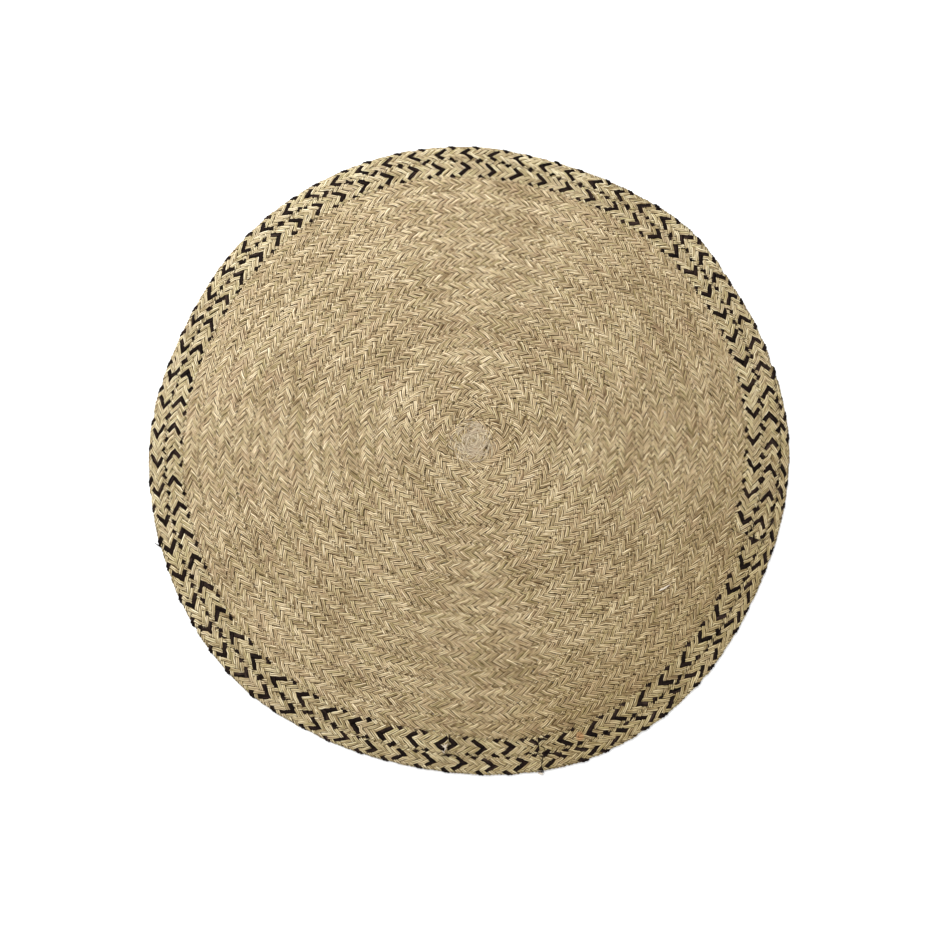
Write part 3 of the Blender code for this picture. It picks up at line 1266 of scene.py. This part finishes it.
@dataclass(frozen=True)
class StrawFinish(Finish):
    """Dull dried stems, from brown over tan to cream, a little uneven along every stem."""

    shade: tuple
    middle: tuple
    light: tuple
    glint: tuple
    rosy: tuple
    olive: tuple
    tones: tuple = (0.12, 0.42, 0.68, 0.92)
    slow: Grain = Grain(along=9.0, shift=0.5, share=0.8)
    quick: Grain = Grain(along=45.0, shift=7.5, share=0.75)
    fibre: Grain = Grain(along=55.0, across=5.0, detail=2.0, share=2.6)
    streak: Grain = Grain(along=160.0, across=9.0, detail=3.0, share=1.2)
    lot: Grain = Grain(along=1.3, shift=77.0, share=0.4)
    patch_scale: float = 9.0
    patch_share: float = 0.35
    rosy_scale: float = 34.0
    rosy_range: tuple = (0.52, 0.66)
    rosy_share: float = 0.28
    olive_grain: Grain = Grain(along=14.0, shift=21.0)
    olive_range: tuple = (0.52, 0.68)
    olive_share: float = 0.40
    # Painted shade: the stems turn darker and browner towards +x and -y, the side away from the key lamp
    painted_shade: tuple = (0.70, 0.66, 0.56)
    painted_shade_toward: tuple = (0.62, -0.78, 0.0)
    painted_shade_range: tuple = (-0.35, 0.65)
    painted_shade_share: float = 0.72
    painted_shade_end_range: tuple = (0.24, 0.44)
    painted_shade_end_share: float = 0.4
    stain: tuple = (0.50, 0.24, 0.10)
    stain_place: tuple = (0.1640, -0.4440, 0.0045)
    stain_reach: float = 0.0075
    stain_fade: float = 0.003
    stain_share: float = 0.6
    # Painted shade: the colour laid into the slits between and under the stems, where shadow falls
    painted_gap_shade: tuple = (0.043, 0.021, 0.005)
    parting: Grain = Grain(along=40.0, shift=33.0)
    parting_range: tuple = (0.46, 0.68)
    edge_range: tuple = (0.70, 0.98)
    edge_parting: float = 0.14
    groove: float = 0.20
    groove_parting: float = 0.10
    groove_share: float = 0.9
    fold_range: tuple = (0.15, 0.80)
    fold_tones: tuple = (0.44, 0.62)
    fold_share: float = 0.55
    roughness: float = 0.66
    roughness_swing: float = 0.3
    specular: float = 0.15
    ribbing: Grain = Grain(along=90.0, across=9.0, detail=3.0)
    bump: float = 0.5

    def material(self) -> bpy.types.Material:
        """Make the material.

        Returns:
            The material.
        """
        shader = ShaderBuilder(self.name)
        place = StemPlace.read(shader)
        slow, quick = place.noise(self.slow), place.noise(self.quick)
        fibre, streak = place.noise(self.fibre), place.noise(self.streak)
        where = shader.node("ShaderNodeTexCoord", {}, {}, "Object")
        patch = shader.noise(where, self.patch_scale)
        spot = shader.vector(place.along * self.lot.along, 0.0, self.lot.shift)
        lot = shader.noise(spot, 1.0, self.lot.detail)
        tone = 0.5 + (slow - 0.5) * self.slow.share + (quick - 0.5) * self.quick.share
        tone = tone + (fibre - 0.5) * self.fibre.share + (streak - 0.5) * self.streak.share
        tone = tone + (patch - 0.5) * self.patch_share + (lot - 0.5) * self.lot.share
        stops = tuple(zip(self.tones, (self.shade, self.middle, self.light, self.glint)))
        colour = self.tinted(shader, place, where, shader.ramp(stops, tone))
        # Painted shade in the slits and at some folds is mixed into the base colour
        painted_slit_shade = self.painted_slit_shade(shader, place, quick)
        shader.feed(shader.surface.inputs["Base Color"], shader.mix(painted_slit_shade, colour, (*self.painted_gap_shade, 1)))
        swing = self.roughness_swing
        shader.feed(shader.surface.inputs["Roughness"], streak * swing + (self.roughness - swing / 2))
        shader.relief(place.noise(self.ribbing), self.bump)
        shader.surface.inputs["Specular IOR Level"].default_value = self.specular
        return shader.material

    def tinted(self, shader: ShaderBuilder, place: StemPlace, where: Channel, colour: Channel) -> Channel:
        """Tint the stems rosy and olive in places, lay painted shade over them towards one side and add the
        stain.

        Args:
            shader: The material.
            place: Places on the strand.
            where: Places on the rug.
            colour: The stems' colour.

        Returns:
            The tinted colour.
        """
        rosy = shader.noise(where, self.rosy_scale).ease(*self.rosy_range)
        olive = place.noise(self.olive_grain).ease(*self.olive_range)
        colour = shader.mix(rosy * self.rosy_share, colour, (*self.rosy, 1))
        colour = shader.mix(olive * self.olive_share, colour, (*self.olive, 1))
        # Painted shade: a darker, browner multiply towards +x and -y, away from the key lamp
        toward = shader.measure("DOT_PRODUCT", where, self.painted_shade_toward)
        painted_shade = toward.ease(*self.painted_shade_range) * self.painted_shade_share
        painted_shade = (painted_shade + toward.ease(*self.painted_shade_end_range) * self.painted_shade_end_share).clamped()
        colour = shader.mix(painted_shade, colour, (*self.painted_shade, 1), "MULTIPLY")
        away = shader.measure("DISTANCE", where, self.stain_place)
        stain = (self.stain_reach - away).ease(0.0, self.stain_fade) * self.stain_share
        return shader.mix(stain, colour, (*self.stain, 1))

    def painted_slit_shade(self, shader: ShaderBuilder, place: StemPlace, quick: Channel) -> Channel:
        """Where painted shade is laid into the colour: in the slits between strands, in the groove between a
        strand's two stems, and at some folds.

        Args:
            shader: The material.
            place: Places on the strand.
            quick: The quick change of tone, which picks the folds that lie deepest.

        Returns:
            The share of painted shade, from 0 to 1.
        """
        side = abs(place.across)
        parted = place.noise(self.parting).ease(*self.parting_range)
        edge = (side + parted * self.edge_parting).ease(*self.edge_range)
        groove = (parted * self.groove_parting + self.groove - side).ease(0.0, self.groove)
        fold = shader.node("ShaderNodeAttribute", {"attribute_name": "fold"}, {}, "Fac")
        # Painted shade at some of the folds, where a strand turns under at the plait's edge
        painted_fold_shade = fold.ease(*self.fold_range) * quick.ease(*self.fold_tones) * self.fold_share
        return (edge + groove * self.groove_share + painted_fold_shade).clamped()


@dataclass(frozen=True)
class DarkFinish(Finish):
    """Stems dyed nearly black, with a brown cast where the dye is thin."""

    name: str = "blackish_dyed_stems"
    slot: str = "dark_fibre"
    deep: tuple = (0.003, 0.002, 0.0016)
    thin: tuple = (0.014, 0.008, 0.006)
    worn: tuple = (0.075, 0.048, 0.036)
    tones: tuple = (0.25, 0.6, 0.95)
    slow: Grain = Grain(along=30.0, shift=0.5)
    streak: Grain = Grain(along=150.0, across=5.0, detail=3.0)
    roughness: float = 0.62
    roughness_swing: float = 0.3
    specular: float = 0.04
    bump: float = 0.35

    def material(self) -> bpy.types.Material:
        """Make the material.

        Returns:
            The material.
        """
        shader = ShaderBuilder(self.name)
        place = StemPlace.read(shader)
        slow, streak = place.noise(self.slow), place.noise(self.streak)
        stops = tuple(zip(self.tones, (self.deep, self.thin, self.worn)))
        shader.feed(shader.surface.inputs["Base Color"], shader.ramp(stops, slow + streak - 0.5))
        swing = self.roughness_swing
        shader.feed(shader.surface.inputs["Roughness"], streak * swing + (self.roughness - swing / 2))
        shader.surface.inputs["Specular IOR Level"].default_value = self.specular
        shader.relief(streak, self.bump)
        return shader.material


@dataclass(frozen=True)
class ThreadFinish(Finish):
    """Pale, faintly rosy twine with a fine twist."""

    name: str = "cream_twine"
    slot: str = "sewing_thread"
    low: tuple = (0.40, 0.31, 0.24)
    high: tuple = (0.82, 0.74, 0.60)
    tones: tuple = (0.3, 0.7)
    twist: Grain = Grain(along=400.0, across=4.0, detail=2.0)
    roughness: float = 0.8
    bump: float = 0.5

    def material(self) -> bpy.types.Material:
        """Make the material.

        Returns:
            The material.
        """
        shader = ShaderBuilder(self.name)
        twist = StemPlace.read(shader).noise(self.twist)
        stops = tuple(zip(self.tones, (self.low, self.high)))
        shader.feed(shader.surface.inputs["Base Color"], shader.ramp(stops, twist))
        shader.surface.inputs["Roughness"].default_value = self.roughness
        shader.relief(twist, self.bump)
        return shader.material


FIELD_STRAW = StrawFinish(
    name="tan_stems", slot="field_fibre",
    shade=(0.155, 0.095, 0.043), middle=(0.465, 0.350, 0.188),
    light=(0.67, 0.533, 0.322), glint=(0.93, 0.80, 0.56),
    rosy=(0.48, 0.32, 0.20), olive=(0.38, 0.33, 0.13),
)
BORDER_STRAW = StrawFinish(
    name="pale_stems", slot="border_fibre",
    shade=(0.20, 0.135, 0.060), middle=(0.50, 0.398, 0.213),
    light=(0.71, 0.590, 0.365), glint=(0.93, 0.84, 0.60),
    rosy=(0.56, 0.42, 0.30), olive=(0.50, 0.45, 0.20),
)
EYE_STRAW = StrawFinish(
    name="greyish_stem_ends", slot="field_fibre",
    shade=(0.16, 0.118, 0.073), middle=(0.403, 0.325, 0.220),
    light=(0.527, 0.437, 0.311), glint=(0.69, 0.59, 0.44),
    rosy=(0.42, 0.325, 0.235), olive=(0.385, 0.35, 0.22),
)


@dataclass(frozen=True)
class Lamp:
    """One soft square lamp that faces the rug."""

    name: str
    place: tuple
    size: float
    power: float

    def hang(self) -> None:
        """Hang the lamp."""
        data = bpy.data.lights.new(self.name, "AREA")
        data.shape = "SQUARE"
        data.size = self.size
        data.energy = self.power
        lamp = bpy.data.objects.new(self.name, data)
        lamp.location = self.place
        lamp.rotation_euler = (-Vector(self.place)).to_track_quat("-Z", "Y").to_euler()
        bpy.context.scene.collection.objects.link(lamp)


@dataclass
class Studio:
    """The pale floor, the soft lights and the camera."""

    floor_size: float = 60.0
    floor_colour: tuple = (0.95, 0.95, 0.95)
    floor_roughness: float = 0.9
    lamps: tuple = (
        Lamp(name="soft_key", place=(-1.15, 1.4, 2.0), size=1.5, power=76),
        Lamp(name="soft_fill", place=(1.8, -1.4, 2.8), size=2.5, power=34),
    )
    even_light: float = 0.66
    camera_place: tuple = (-0.0050, -0.3067, 1.5378)
    camera_tilt: float = 10.0
    lens: float = 38.63
    sensor: float = 36.0

    def floor(self) -> None:
        """Lay the floor under the rug."""
        half = self.floor_size / 2
        mesh = bpy.data.meshes.new("pale_floor")
        corners = [(-half, -half, 0), (half, -half, 0), (half, half, 0), (-half, half, 0)]
        mesh.from_pydata(corners, [], [(0, 1, 2, 3)])
        piece = bpy.data.objects.new("pale_floor", mesh)
        bpy.context.scene.collection.objects.link(piece)
        shader = ShaderBuilder("pale_floor_paint")
        shader.surface.inputs["Base Color"].default_value = (*self.floor_colour, 1)
        shader.surface.inputs["Roughness"].default_value = self.floor_roughness
        mesh.materials.append(shader.material)

    def light(self) -> None:
        """Hang the lamps and set the even light around."""
        bpy.context.scene.view_settings.view_transform = "Standard"
        for lamp in self.lamps:
            lamp.hang()
        world = bpy.data.worlds.new("even_light")
        world.use_nodes = True
        world.node_tree.nodes["Background"].inputs["Color"].default_value = (1, 1, 1, 1)
        world.node_tree.nodes["Background"].inputs["Strength"].default_value = self.even_light
        bpy.context.scene.world = world

    def camera(self) -> None:
        """Set the camera where the photographer stood."""
        data = bpy.data.cameras.new("camera")
        data.lens = self.lens
        data.sensor_width = self.sensor
        camera = bpy.data.objects.new("camera", data)
        camera.location = self.camera_place
        camera.rotation_euler = Euler((math.radians(self.camera_tilt), 0, 0))
        bpy.context.scene.collection.objects.link(camera)
        bpy.context.scene.camera = camera


def main() -> None:
    """Build the studio and the rug, and report each piece."""
    logging.basicConfig(level=logging.INFO, format="%(message)s")
    studio = Studio()
    studio.camera()
    studio.floor()
    studio.light()
    field_start = -COIL.field_turns - COIL.tucked_turns
    rug_field = FieldPlait(
        name="field", node="field_plait", start=field_start, end=0.0, heading=Heading.CLOCKWISE, seed=11,
    )
    pieces = rug_field.make(FIELD_STRAW)
    for plait in make_border():
        pieces += plait.make(BORDER_STRAW, DarkFinish())
    dark, thread = DarkFinish(), ThreadFinish()
    pieces += [
        EyeStems().make(EYE_STRAW),
        Stitching("bleached_stem_end", "field_plait", BLEACHED, first_tag=700).make(thread),
        Stitching("knot_dark_ends", "inner_border_patch", KNOT_DARK, first_tag=600).make(dark),
        Stitching("knot_thread", "inner_border_patch", KNOT_PALE, first_tag=620).make(thread),
        Stitching("cut_dark_stitches", "outer_border_closing", CUT_DARK, first_tag=640).make(dark),
        Stitching("cut_thread_ends", "outer_border_closing", CUT_PALE, first_tag=660).make(thread),
        Stitching("join_dark_ends", "inner_border_closing", JOIN_DARK, first_tag=680).make(dark),
        StrayEnd().make(dark),
    ]
    for piece in pieces:
        LOG.info("%s: %d quads", piece.name, len(piece.data.polygons))


if __name__ == "__main__":
    main()
